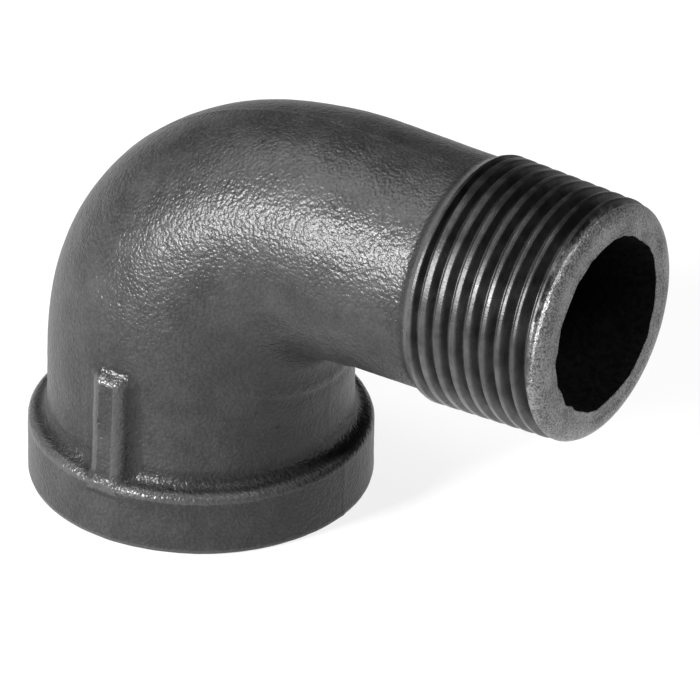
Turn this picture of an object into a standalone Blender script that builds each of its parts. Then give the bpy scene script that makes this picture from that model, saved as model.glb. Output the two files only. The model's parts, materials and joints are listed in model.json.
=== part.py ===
"""Street elbow, 90 degrees, 3/4 inch pipe thread, banded malleable iron casting.

The fitting stands on the face of its female (socket) end, +Z up. The male end
points along +X. The origin is under the middle of the fitting's bounding box.
It is one casting: the body, band and ribs are poured together and both
threads are cut into the same piece of iron, so the model is one object.
"""

import math

import bmesh
import bpy
from mathutils import Matrix, Vector

MM = 0.001
INCH = 0.0254

# Driving dimensions -------------------------------------------------------

# Layout: the socket's axis is vertical and the male axis is level.
CENTRE_HEIGHT = 34.6 * MM       # socket face to male axis
MALE_REACH = 50.7 * MM          # socket axis to male end face

# Pipe thread, cut on both ends.
THREADS_PER_INCH = 14
THREAD_TAPER = 1.0 / 16.0       # change of diameter along the axis
THREAD_DEPTH_SHARE = 0.70       # crest to root, as a share of the pitch
THREAD_ROOT_SHARE = 0.083       # flat at the root, as a share of the pitch
THREAD_HALF_ANGLE = math.radians(30.0)
MALE_CREST_RADIUS = 13.05 * MM    # at the male end face
SOCKET_CREST_RADIUS = 11.90 * MM  # at the socket face
THREAD_RUN_OUT_TURNS = 1.2      # the groove gets shallow over this many turns
SOCKET_LEAD_TURNS = 0.7         # the socket's groove starts this far outside its face

# Socket end.
BAND_STEP = 2.1 * MM            # how far the band stands out from the body
BAND_HEIGHT = 7.2 * MM
BAND_TOP_EDGE = 1.0 * MM
BAND_BOTTOM_EDGE = 0.5 * MM
SOCKET_DEPTH = 14.5 * MM
SOCKET_MOUTH_CHAMFER = 1.6 * MM

# Body, the outer skin from the socket round to the neck.
BODY_RADIUS = 16.4 * MM         # at the socket
INNER_BEND_RADIUS = 2.9 * MM    # inside of the bend, before the throat fills it
NECK_STEP = 0.68 * MM           # how far the neck lies under the turned end
NARROWING_START = 0.22          # shares of the way round the bend between which
NARROWING_END = 0.95            # the body narrows to the neck
CROTCH_RADIUS = 7.0 * MM        # fillet under the neck, in the fitting's middle
THROAT_INSET = 1.35 * MM        # that fillet is rounder than the neck by this
THROAT_SINK = 0.3 * MM          # how deep its ends lie under the skin

# Male end.
BLANK_LENGTH = 17.3 * MM        # end face to the foot of the shoulder
SHOULDER_LENGTH = 1.9 * MM      # cone between the neck and the turned length
NOSE_LENGTH = 2.1 * MM          # broken edge of the nose, along the axis
NOSE_DROP = 1.65 * MM           # broken edge of the nose, across the axis
NOSE_ROUNDING = 0.6 * MM        # how far the cone stops short of the face

# Waterway.
BORE_RADIUS = 9.0 * MM
PASSAGE_RADIUS = 10.6 * MM      # where the waterway leaves the socket
PASSAGE_RISE = 0.8 * MM         # straight length between the socket and the bend

# Side ribs, one on each side of the socket.
RIB_WIDTH = 3.2 * MM
RIB_TOP = 19.3 * MM             # height above the socket face
RIB_LEAN = 0.9 * MM             # how far the rib's top stands in from the band
RIB_EDGE = 0.7 * MM

# Fineness of the mesh, and clearances of the shapes that make it.
BODY_SIDES = 40
BEND_STEPS = 12
EDGE_STEPS = 3
CUT_CLEARANCE = 0.8 * MM        # how far cutters run past what they cut
FLANK_OVERSHOOT_SHARE = 0.066   # how far a thread cutter passes the crests, of the pitch
RUN_OUT_LIFT = 0.2 * MM         # how far it clears them where the groove has faded
JOIN_SINK = 0.1 * MM            # how far the male end's foot lies under the neck
MERGE_DISTANCE = 0.002 * MM

# Worked out from the above --------------------------------------------------

THREAD_PITCH = INCH / THREADS_PER_INCH
THREAD_DEPTH = THREAD_DEPTH_SHARE * THREAD_PITCH
FLANK_OVERSHOOT = FLANK_OVERSHOOT_SHARE * THREAD_PITCH
TAPER_RATE = THREAD_TAPER / 2.0                 # change of radius along the axis
TURNED_LENGTH = BLANK_LENGTH - SHOULDER_LENGTH
MALE_THREAD_TURNS = int(TURNED_LENGTH / THREAD_PITCH)
SOCKET_THREAD_TURNS = int(SOCKET_DEPTH / THREAD_PITCH)
SHOULDER_RADIUS = MALE_CREST_RADIUS + TURNED_LENGTH * TAPER_RATE
NECK_RADIUS = SHOULDER_RADIUS - NECK_STEP
THROAT_RADIUS = NECK_RADIUS - THROAT_INSET
NOSE_BASE_RADIUS = MALE_CREST_RADIUS + NOSE_LENGTH * TAPER_RATE
NOSE_FACE_RADIUS = MALE_CREST_RADIUS - NOSE_DROP
BAND_RADIUS = BODY_RADIUS + BAND_STEP
BEND_RADIUS = BODY_RADIUS + INNER_BEND_RADIUS   # of the body's centreline
PASSAGE_BEND_RADIUS = CENTRE_HEIGHT - SOCKET_DEPTH - PASSAGE_RISE
ORIGIN_SHIFT = (BAND_RADIUS - MALE_REACH) / 2.0
MALE_AXIS = Matrix.Translation((ORIGIN_SHIFT, 0.0, CENTRE_HEIGHT))
SOCKET_AXIS = Matrix.Translation((ORIGIN_SHIFT, 0.0, 0.0))

IRON_COLOUR = (0.09, 0.09, 0.09, 1.0)
IRON_ROUGHNESS = 0.5
IRON_METALLIC = 0.75
SHARP_ANGLE = math.radians(35.0)
PART_COLLECTION = "street_elbow"
CUTTER_COLLECTION = "cutters"


# Scene helpers ----------------------------------------------------------------


def clear_scene():
    """Remove every object and the collections made by an earlier run."""
    for obj in list(bpy.data.objects):
        bpy.data.objects.remove(obj, do_unlink=True)
    for name in (PART_COLLECTION, CUTTER_COLLECTION):
        if name in bpy.data.collections:
            bpy.data.collections.remove(bpy.data.collections[name])


def new_collection(name):
    """Make a collection and hang it in the scene."""
    collection = bpy.data.collections.new(name)
    bpy.context.scene.collection.children.link(collection)
    return collection


def new_object(name, mesh, collection):
    """Make an object from a mesh and put it in a collection."""
    obj = bpy.data.objects.new(name, mesh)
    collection.objects.link(obj)
    return obj


def evaluated_mesh(obj):
    """A plain mesh of the object with its modifiers applied."""
    graph = bpy.context.evaluated_depsgraph_get()
    graph.update()
    return bpy.data.meshes.new_from_object(obj.evaluated_get(graph), depsgraph=graph)


def bake(obj, merge_distance=MERGE_DISTANCE):
    """Replace the object by its evaluated mesh, closed and with faces outwards."""
    mesh = evaluated_mesh(obj)
    work = bmesh.new()
    work.from_mesh(mesh)
    bmesh.ops.remove_doubles(work, verts=work.verts, dist=merge_distance)
    bmesh.ops.dissolve_degenerate(work, edges=work.edges, dist=merge_distance)
    open_edges = [edge for edge in work.edges if edge.is_boundary]
    if open_edges:
        bmesh.ops.holes_fill(work, edges=open_edges, sides=0)
    bmesh.ops.recalc_face_normals(work, faces=work.faces)
    work.to_mesh(mesh)
    work.free()
    name = obj.name
    matrix = obj.matrix_world.copy()
    collection = obj.users_collection[0]
    bpy.data.objects.remove(obj, do_unlink=True)
    baked = new_object(name, mesh, collection)
    baked.matrix_world = matrix
    return baked


def hide_helper(obj):
    """Keep a cutter or a joined shape out of the finished part."""
    obj.hide_render = True
    obj.display_type = "WIRE"
    return obj


# Shape tools ------------------------------------------------------------------


def turned_shape(name, profile, axis, placement, collection):
    """Turn a profile of (distance along the axis, radius) points about X or Z."""
    work = bmesh.new()
    points = []
    for along, radius in profile:
        place = (along, 0.0, radius) if axis == "X" else (radius, 0.0, along)
        points.append(work.verts.new(place))
    for first, second in zip(points, points[1:]):
        work.edges.new((first, second))
    mesh = bpy.data.meshes.new(name)
    work.to_mesh(mesh)
    work.free()
    obj = new_object(name, mesh, collection)
    screw = obj.modifiers.new("turn", "SCREW")
    screw.axis = axis
    screw.steps = BODY_SIDES
    screw.render_steps = BODY_SIDES
    screw.use_merge_vertices = True
    screw.merge_threshold = MERGE_DISTANCE
    obj.matrix_world = placement
    return hide_helper(bake(obj))


def tube_along(name, stations, collection):
    """A tube with filled caps through stations of (centre, radius)."""
    curve = bpy.data.curves.new(name, "CURVE")
    curve.dimensions = "3D"
    curve.bevel_depth = 1.0
    curve.bevel_resolution = BODY_SIDES // 2 - 2
    curve.use_fill_caps = True
    spline = curve.splines.new("POLY")
    spline.points.add(len(stations) - 1)
    for point, (centre, radius) in zip(spline.points, stations):
        point.co = (*centre, 1.0)
        point.radius = radius
    obj = bpy.data.objects.new(name, curve)
    collection.objects.link(obj)
    return hide_helper(bake(obj))


def eased(start, end, share):
    """A value between start and end that leaves and arrives level."""
    share = min(max(share, 0.0), 1.0)
    return start + (end - start) * share * share * (3.0 - 2.0 * share)


def along_and_across(vertex_place, axis):
    """Split a place into its distance along the axis and its offset from it."""
    if axis == "X":
        return vertex_place.x, Vector((0.0, vertex_place.y, vertex_place.z))
    return vertex_place.z, Vector((vertex_place.x, vertex_place.y, 0.0))


def bend_stations(foot, reach, radius_at, bend_radius, inset=0.0, drop=0.0):
    """Stations up the socket axis, round the bend and out along the male axis.

    foot is the height where the tube starts and reach is where it ends.
    radius_at gives the radius for a share of the way round the bend. inset and
    drop move the upright and the level run towards the inside of the bend.
    """
    upright = ORIGIN_SHIFT + inset
    level = CENTRE_HEIGHT - drop
    stations = [(Vector((upright, 0.0, foot)), radius_at(0.0))]
    for step in range(BEND_STEPS + 1):
        share = step / BEND_STEPS
        angle = math.pi / 2.0 * share
        across = bend_radius * (1.0 - math.cos(angle))
        up = level - bend_radius * (1.0 - math.sin(angle))
        stations.append((Vector((upright + across, 0.0, up)), radius_at(share)))
    stations.append((Vector((ORIGIN_SHIFT + reach, 0.0, level)), radius_at(1.0)))
    return stations


def thread_cutter(name, crest_radius, outward, turns, start, placement, helpers):
    """A tapered right-hand helical ridge that cuts the groove of one thread.

    crest_radius is the radius of the thread's crests at its end face. outward
    is +1 where the groove is cut outwards, in the socket, about Z, and -1 where
    it is cut inwards, on the male end, about X.
    """
    axis = "Z" if outward > 0 else "X"
    root_half = THREAD_ROOT_SHARE * THREAD_PITCH / 2.0
    flank_height = THREAD_DEPTH + FLANK_OVERSHOOT
    crest_half = root_half + flank_height * math.tan(THREAD_HALF_ANGLE)
    root = crest_radius + outward * THREAD_DEPTH
    crest = crest_radius - outward * FLANK_OVERSHOOT
    clear = crest_radius - outward * CUT_CLEARANCE
    profile = [
        (root_half, root),
        (crest_half, crest),
        (crest_half, clear),
        (-crest_half, clear),
        (-crest_half, crest),
        (-root_half, root),
    ]
    half_step = Matrix.Rotation(math.pi / BODY_SIDES, 4, axis)
    work = bmesh.new()
    corners = []
    for along, radius in profile:
        place = Vector((along, 0.0, radius) if axis == "X" else (radius, 0.0, along))
        corners.append(work.verts.new(half_step @ place))
    for index, corner in enumerate(corners):
        work.edges.new((corner, corners[(index + 1) % len(corners)]))
    mesh = bpy.data.meshes.new(name)
    work.to_mesh(mesh)
    work.free()
    obj = new_object(name, mesh, helpers)
    screw = obj.modifiers.new("wind", "SCREW")
    screw.axis = axis
    screw.steps = BODY_SIDES
    screw.render_steps = BODY_SIDES
    screw.iterations = turns
    screw.screw_offset = THREAD_PITCH
    obj = bake(obj)
    taper_thread(obj.data, axis, outward, turns * THREAD_PITCH, start)
    obj.matrix_world = placement
    return hide_helper(obj)


def taper_thread(mesh, axis, outward, length, start):
    """Move the ridge to its start, give it the pipe taper and fade its inner end."""
    run_out = THREAD_RUN_OUT_TURNS * THREAD_PITCH
    fade_height = THREAD_DEPTH + FLANK_OVERSHOOT + RUN_OUT_LIFT
    for vertex in mesh.vertices:
        along, across = along_and_across(vertex.co, axis)
        to_inner_end = along if outward < 0 else length - along
        from_face = MALE_REACH - start - along if outward < 0 else start + along
        fade = 1.0 - min(max(to_inner_end / run_out, 0.0), 1.0)
        shift = -outward * (from_face * TAPER_RATE + fade * fade_height)
        across *= (across.length + shift) / across.length
        along += start
        if axis == "X":
            vertex.co = (along, across.y, across.z)
        else:
            vertex.co = (across.x, across.y, along)


# Pieces of the casting --------------------------------------------------------


def body_skin(helpers):
    """The bent outer body, from inside the band to inside the threaded end."""

    def radius_at(share):
        narrowed = (share - NARROWING_START) / (NARROWING_END - NARROWING_START)
        return eased(BODY_RADIUS, NECK_RADIUS, narrowed)

    foot = BAND_HEIGHT / 2.0
    reach = MALE_REACH - TURNED_LENGTH + CUT_CLEARANCE
    stations = bend_stations(foot, reach, radius_at, BEND_RADIUS)
    return tube_along("body_skin", stations, helpers)


def throat(helpers):
    """The fuller inside of the bend, which fillets the neck into the body."""
    bend_radius = CROTCH_RADIUS + THROAT_RADIUS
    inset = BODY_RADIUS - THROAT_SINK - THROAT_RADIUS
    drop = NECK_RADIUS - THROAT_SINK - THROAT_RADIUS
    foot = BAND_HEIGHT
    reach = MALE_REACH - BLANK_LENGTH - CUT_CLEARANCE
    stations = bend_stations(foot, reach, lambda share: THROAT_RADIUS, bend_radius, inset, drop)
    return tube_along("throat", stations, helpers)


def socket_band(helpers):
    """The thick band that stiffens the socket, with its edges broken."""
    profile = [
        (0.0, 0.0),
        (0.0, BAND_RADIUS - BAND_BOTTOM_EDGE),
        (BAND_BOTTOM_EDGE, BAND_RADIUS),
    ]
    for step in range(EDGE_STEPS + 1):
        angle = math.pi / 2.0 * step / EDGE_STEPS
        height = BAND_HEIGHT - BAND_TOP_EDGE * (1.0 - math.sin(angle))
        radius = BAND_RADIUS - BAND_TOP_EDGE * (1.0 - math.cos(angle))
        profile.append((height, radius))
    profile.append((BAND_HEIGHT, 0.0))
    profile.reverse()
    return turned_shape("socket_band", profile, "Z", SOCKET_AXIS, helpers)


def side_rib(side, helpers):
    """One upright rib, flush with the band below and leaning in at its top."""
    foot = BAND_HEIGHT - BAND_TOP_EDGE * 2.0
    inner = BODY_RADIUS - RIB_LEAN - RIB_EDGE * 2.0
    outer = math.sqrt(BAND_RADIUS**2 - (RIB_WIDTH / 2.0) ** 2)
    name = "rib_front" if side < 0 else "rib_back"
    work = bmesh.new()
    bmesh.ops.create_cube(work, size=1.0)
    for vertex in work.verts:
        high = vertex.co.z > 0.0
        far = vertex.co.y > 0.0
        lean = RIB_LEAN if high and far else 0.0
        vertex.co.x *= RIB_WIDTH
        vertex.co.y = side * ((outer if far else inner) - lean)
        vertex.co.z = RIB_TOP if high else foot
    bmesh.ops.recalc_face_normals(work, faces=work.faces)
    mesh = bpy.data.meshes.new(name)
    work.to_mesh(mesh)
    work.free()
    rib = new_object(name, mesh, helpers)
    bevel = rib.modifiers.new("soft_edges", "BEVEL")
    bevel.width = RIB_EDGE
    bevel.segments = 2
    rib.matrix_world = SOCKET_AXIS
    return hide_helper(bake(rib))


def male_blank(helpers):
    """The turned cone that the male thread is cut into, with its shoulder and nose."""
    turned_start = MALE_REACH - TURNED_LENGTH
    shoulder_foot = MALE_REACH - BLANK_LENGTH
    profile = [
        (MALE_REACH, 0.0),
        (MALE_REACH, NOSE_FACE_RADIUS),
        (MALE_REACH - NOSE_ROUNDING, (NOSE_FACE_RADIUS + NOSE_BASE_RADIUS) / 2.0),
        (MALE_REACH - NOSE_LENGTH, NOSE_BASE_RADIUS),
        (turned_start, SHOULDER_RADIUS),
        (shoulder_foot, NECK_RADIUS - JOIN_SINK),
        (shoulder_foot, 0.0),
    ]
    return turned_shape("male_blank", profile, "X", MALE_AXIS, helpers)


def waterway(helpers):
    """The cast passage from the socket round to the male end."""

    def radius_at(share):
        return eased(PASSAGE_RADIUS, BORE_RADIUS, share)

    foot = SOCKET_DEPTH - CUT_CLEARANCE
    reach = MALE_REACH + CUT_CLEARANCE
    stations = bend_stations(foot, reach, radius_at, PASSAGE_BEND_RADIUS)
    return tube_along("waterway", stations, helpers)


def socket_hole(helpers):
    """The bored socket that the female thread is cut into, with its mouth chamfer."""
    floor_radius = SOCKET_CREST_RADIUS - SOCKET_DEPTH * TAPER_RATE
    chamfer_top_radius = SOCKET_CREST_RADIUS - SOCKET_MOUTH_CHAMFER * TAPER_RATE
    mouth_radius = chamfer_top_radius + SOCKET_MOUTH_CHAMFER
    profile = [
        (SOCKET_DEPTH, 0.0),
        (SOCKET_DEPTH, floor_radius),
        (SOCKET_MOUTH_CHAMFER, chamfer_top_radius),
        (0.0, mouth_radius),
        (-CUT_CLEARANCE, mouth_radius),
        (-CUT_CLEARANCE, 0.0),
    ]
    return turned_shape("socket_hole", profile, "Z", SOCKET_AXIS, helpers)


def male_thread(helpers):
    """The cutter of the male thread's groove."""
    turns = MALE_THREAD_TURNS
    start = MALE_REACH - turns * THREAD_PITCH
    return thread_cutter("male_thread", MALE_CREST_RADIUS, -1, turns, start, MALE_AXIS, helpers)


def female_thread(helpers):
    """The cutter of the socket thread's groove."""
    turns = SOCKET_THREAD_TURNS
    start = -SOCKET_LEAD_TURNS * THREAD_PITCH
    return thread_cutter("female_thread", SOCKET_CREST_RADIUS, 1, turns, start, SOCKET_AXIS, helpers)


# Assembly -----------------------------------------------------------------------


def combine(base, operation, others):
    """Add one Boolean modifier to the base for each other shape."""
    for other in others:
        boolean = base.modifiers.new(f"{operation.lower()}_{other.name}", "BOOLEAN")
        boolean.operation = operation
        boolean.solver = "EXACT"
        boolean.object = other


def cast_iron():
    """Black malleable iron: dark grey, dull, as cast."""
    material = bpy.data.materials.new("black_malleable_iron")
    material.use_nodes = True
    shader = material.node_tree.nodes["Principled BSDF"]
    shader.inputs["Base Color"].default_value = IRON_COLOUR
    shader.inputs["Roughness"].default_value = IRON_ROUGHNESS
    shader.inputs["Metallic"].default_value = IRON_METALLIC
    return material


def build():
    """Build the elbow casting from its skin, its cuts and its threads."""
    clear_scene()
    part = new_collection(PART_COLLECTION)
    helpers = new_collection(CUTTER_COLLECTION)
    added = [throat(helpers), socket_band(helpers), male_blank(helpers)]
    added += [side_rib(side, helpers) for side in (-1, 1)]
    removed = [waterway(helpers), socket_hole(helpers), male_thread(helpers), female_thread(helpers)]
    casting = body_skin(helpers)
    combine(casting, "UNION", added)
    combine(casting, "DIFFERENCE", removed)
    casting = bake(casting)
    casting.name = "elbow_casting"
    casting.data.materials.clear()
    casting.data.materials.append(cast_iron())
    casting.data.shade_smooth()
    casting.data.set_sharp_from_angle(angle=SHARP_ANGLE)
    part.objects.link(casting)
    helpers.objects.unlink(casting)


build()
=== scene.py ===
"""Visual model of a 90 degree street elbow, cast in black malleable iron.

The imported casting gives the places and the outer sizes. This script builds its
visible surface in three closed pieces that meet edge to edge: the cast body
with its band, ribs, throat and waterway, the threaded male end, and the thread
inside the socket.
"""

import json
import logging
import math
from dataclasses import dataclass
from enum import Enum
from typing import Any, Callable, Dict, List, Optional, Sequence, Tuple, Union

import bmesh
import bpy
import numpy as np
from mathutils import Matrix, Vector, noise


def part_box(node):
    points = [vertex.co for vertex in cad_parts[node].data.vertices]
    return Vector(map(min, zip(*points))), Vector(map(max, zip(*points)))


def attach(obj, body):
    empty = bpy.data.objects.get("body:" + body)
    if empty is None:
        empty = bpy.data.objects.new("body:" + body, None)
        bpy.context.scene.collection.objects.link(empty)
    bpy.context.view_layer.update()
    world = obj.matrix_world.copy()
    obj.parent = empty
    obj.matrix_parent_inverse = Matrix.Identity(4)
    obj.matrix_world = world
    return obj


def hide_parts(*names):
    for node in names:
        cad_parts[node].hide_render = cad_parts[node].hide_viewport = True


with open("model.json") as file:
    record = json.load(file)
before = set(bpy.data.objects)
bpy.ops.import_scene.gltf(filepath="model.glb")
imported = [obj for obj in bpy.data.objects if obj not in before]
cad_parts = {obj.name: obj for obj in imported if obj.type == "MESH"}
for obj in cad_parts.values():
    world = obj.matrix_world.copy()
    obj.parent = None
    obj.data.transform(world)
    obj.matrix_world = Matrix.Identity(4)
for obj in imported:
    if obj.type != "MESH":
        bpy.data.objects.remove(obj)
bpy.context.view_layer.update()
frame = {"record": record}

MM = 0.001
CAD_NODE = "elbow_casting"
CAD_BODY = "root"
# Mesh mark for edge wear, bare crests and painted shade in corners and grooves.
WEAR_AND_SHADE = "wear"
NOSE_SKIN = 1.45 * MM
LOG = logging.getLogger("street_elbow")

Array = np.ndarray
Settings = Optional[Dict[str, Any]]
Values = Optional[Dict[Union[str, int], Any]]


class Slot(Enum):
    """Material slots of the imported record."""

    IRON = "black_malleable_iron"


class Side(Enum):
    """Which way a thread's crests point, away from its axis or towards it."""

    MALE = 1.0
    FEMALE = -1.0


# Node trees


class Signal:
    """An output socket that can be used in Python arithmetic.

    Args:
        graph: The graph that new nodes are added to.
        socket: The output socket that this signal stands for.
    """

    def __init__(self, graph: "Graph", socket: bpy.types.NodeSocket) -> None:
        """Keep the socket with its graph."""
        self.graph = graph
        self.socket = socket

    def math(self, operation: str, *others: Any) -> "Signal":
        """Add a Math node whose first value is this signal.

        Args:
            operation: The Math node's operation.
            others: The remaining values, as signals or numbers.

        Returns:
            The node's result.
        """
        return self.graph.math(operation, self, *others)

    def __add__(self, other: Any) -> "Signal":
        """Sum with a signal or number."""
        return self.math("ADD", other)

    def __radd__(self, other: Any) -> "Signal":
        """Sum with a number on the left."""
        return self.math("ADD", other)

    def __sub__(self, other: Any) -> "Signal":
        """Difference from a signal or number."""
        return self.math("SUBTRACT", other)

    def __rsub__(self, other: Any) -> "Signal":
        """A number minus this signal."""
        return self.graph.math("SUBTRACT", other, self)

    def __mul__(self, other: Any) -> "Signal":
        """Product with a signal or number."""
        return self.math("MULTIPLY", other)

    def __rmul__(self, other: Any) -> "Signal":
        """Product with a number on the left."""
        return self.math("MULTIPLY", other)

    def __truediv__(self, other: Any) -> "Signal":
        """Quotient by a signal or number."""
        return self.math("DIVIDE", other)

    def __rtruediv__(self, other: Any) -> "Signal":
        """A number divided by this signal."""
        return self.graph.math("DIVIDE", other, self)

    def __pow__(self, other: Any) -> "Signal":
        """Power of a signal or number."""
        return self.math("POWER", other)

    def __abs__(self) -> "Signal":
        """Size without sign."""
        return self.math("ABSOLUTE")

    def limited(self, low: Any, high: Any) -> "Signal":
        """This signal held between two values."""
        return self.math("MAXIMUM", low).math("MINIMUM", high)


class Graph:
    """Adds nodes to a shader or geometry tree and links them.

    Args:
        tree: The tree that the nodes go into.
    """

    def __init__(self, tree: bpy.types.NodeTree) -> None:
        """Empty the tree, ready for new nodes."""
        self.tree = tree
        tree.nodes.clear()

    def node(self, kind: str, settings: Settings = None, values: Values = None) -> bpy.types.Node:
        """Add one node, set it up and fill or link its inputs.

        Args:
            kind: The node's type name.
            settings: The node's own settings; "stops" holds a colour ramp's stops.
            values: What each input gets, by name or index: a signal or a plain value.

        Returns:
            The new node.
        """
        made = self.tree.nodes.new(kind)
        for name, value in (settings or {}).items():
            if name == "stops":
                self._set_stops(made.color_ramp, value)
            else:
                setattr(made, name, value)
        for key, value in (values or {}).items():
            if isinstance(value, Signal):
                self.tree.links.new(value.socket, made.inputs[key])
            else:
                made.inputs[key].default_value = value
        return made

    @staticmethod
    def _set_stops(ramp: bpy.types.ColorRamp, stops: Sequence[Tuple[float, float]]) -> None:
        """Give a ramp grey stops.

        Args:
            ramp: The ramp to set.
            stops: Pairs of place and grey level.
        """
        while len(ramp.elements) < len(stops):
            ramp.elements.new(1.0)
        for element, (place, grey) in zip(ramp.elements, stops):
            element.position = place
            element.color = (grey, grey, grey, 1.0)

    def signal(
        self, kind: str, settings: Settings = None, values: Values = None, output: Any = 0
    ) -> Signal:
        """Add one node and return one of its outputs.

        Args:
            kind: The node's type name.
            settings: The node's own settings.
            values: What each input gets.
            output: The name or index of the output to return.

        Returns:
            That output as a signal.
        """
        return Signal(self, self.node(kind, settings, values).outputs[output])

    def math(self, operation: str, *values: Any) -> Signal:
        """Add a Math node.

        Args:
            operation: The node's operation.
            values: Signals or numbers, in the order of the node's inputs.

        Returns:
            The node's result.
        """
        return self.signal("ShaderNodeMath", {"operation": operation}, dict(enumerate(values)))

    def mixed(self, share: Any, first: Any, second: Any) -> Signal:
        """Blend two colours.

        Args:
            share: How much of the second colour, from 0 to 1.
            first: The first colour, or a signal.
            second: The second colour, or a signal.

        Returns:
            The blended colour.
        """
        settings = {"data_type": "RGBA", "blend_type": "MIX"}
        return self.signal("ShaderNodeMix", settings, {0: share, 6: first, 7: second}, 2)

    def grains(self, place: Any, size: float, detail: float, roughness: float = 0.5) -> Signal:
        """Cloudy noise.

        Args:
            place: The coordinates that it is laid on.
            size: The size of one grain, in metres.
            detail: How many finer layers it has.
            roughness: How strong the finer layers are.

        Returns:
            The noise, from 0 to 1.
        """
        values = {"Vector": place, "Scale": 1.0 / size, "Detail": detail, "Roughness": roughness}
        return self.signal("ShaderNodeTexNoise", None, values)

    def banded(self, value: Signal, low: float, high: float) -> Signal:
        """Stretch a signal so that low gives 0 and high gives 1, eased and held there.

        Args:
            value: The signal to stretch.
            low: The value that gives 0.
            high: The value that gives 1.

        Returns:
            The stretched signal.
        """
        settings = {"interpolation_type": "SMOOTHSTEP"}
        values = {"Value": value, "From Min": low, "From Max": high}
        return self.signal("ShaderNodeMapRange", settings, values)


# Finishes


def grey(level: float) -> Tuple[float, float, float, float]:
    """An opaque neutral colour of one level."""
    return (level, level, level, 1.0)


class Surface:
    """A material in the making: its graph, its coordinates and its shader.

    Args:
        name: The material's name.
    """

    def __init__(self, name: str) -> None:
        """Start with an empty graph and Object coordinates."""
        self.material = bpy.data.materials.new(name)
        self.material.use_nodes = True
        self.graph = Graph(self.material.node_tree)
        self.place = self.graph.signal("ShaderNodeTexCoord", None, None, "Object")

    def wear(self) -> Signal:
        """How much a point stands out (1) or lies in a corner (-1), as its mesh says; the mark behind edge
        wear and painted shade.
        """
        return self.graph.signal("ShaderNodeAttribute", {"attribute_name": WEAR_AND_SHADE}, None, "Fac")

    def done(self, relief: float, height: Signal, values: Dict[str, Any]) -> bpy.types.Material:
        """Add the bump, the shader and the output.

        Args:
            relief: How far the bump stands out, in metres.
            height: The bump's pattern.
            values: What the shader's other inputs get.

        Returns:
            The material.
        """
        bumped = {"Strength": 1.0, "Distance": relief, "Height": height}
        bump = self.graph.signal("ShaderNodeBump", None, bumped)
        shader = self.graph.signal("ShaderNodeBsdfPrincipled", None, {**values, "Normal": bump})
        self.graph.node("ShaderNodeOutputMaterial", None, {"Surface": shader})
        return self.material


@dataclass(frozen=True)
class CastSkin:
    """The black oxide skin of sand-cast malleable iron, dull and pebbled, with painted shade darkening its
    corners.
    """

    dark: float = 0.013
    light: float = 0.032
    metallic: float = 0.1
    specular: float = 0.36
    roughness_low: float = 0.34
    roughness_high: float = 0.46
    grain: float = 0.34 * MM
    pebble: float = 0.80 * MM
    mottle: float = 4.5 * MM
    pit: float = 5.0 * MM
    relief: float = 0.12 * MM

    def material(self) -> bpy.types.Material:
        """Build the finish."""
        surface = Surface("cast_skin")
        graph, place = surface.graph, surface.place
        fine = graph.grains(place, self.grain, 1.0, 0.4)
        pebbles = graph.grains(place, self.pebble, 2.0, 0.5)
        mottle = graph.grains(place, self.mottle, 3.0, 0.6)
        cells = {"Vector": place, "Scale": 1.0 / self.pit, "Randomness": 1.0}
        spots = graph.signal("ShaderNodeTexVoronoi", None, cells, "Distance")
        pits = 1.0 - graph.banded(spots, 0.02, 0.09)
        edge = surface.wear()
        worn = graph.banded(edge + (fine - 0.5) * 0.6, 0.15, 0.9)
        # Painted shade: corners and fillets are darkened where shade falls in them.
        painted_corner_shade = graph.banded(0.0 - edge, 0.1, 0.8)
        tone = graph.banded(mottle * 0.6 + fine * 0.4, 0.3, 0.72)
        colour = graph.mixed(tone, grey(self.dark), grey(self.light))
        colour = graph.mixed(worn * 0.45, colour, grey(self.light * 2.1))
        colour = graph.mixed(painted_corner_shade * 0.55, colour, grey(self.dark * 0.35))
        colour = graph.mixed(pits * 0.6, colour, grey(self.dark * 0.4))
        span = self.roughness_high - self.roughness_low
        values = {
            "Base Color": colour,
            "Metallic": self.metallic,
            "Specular IOR Level": self.specular,
            "Roughness": mottle * span + self.roughness_low + (pebbles - 0.5) * 0.12 - worn * 0.06,
        }
        return surface.done(self.relief, fine * 0.9 + pebbles * 0.7 - pits * 0.6, values)


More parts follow.
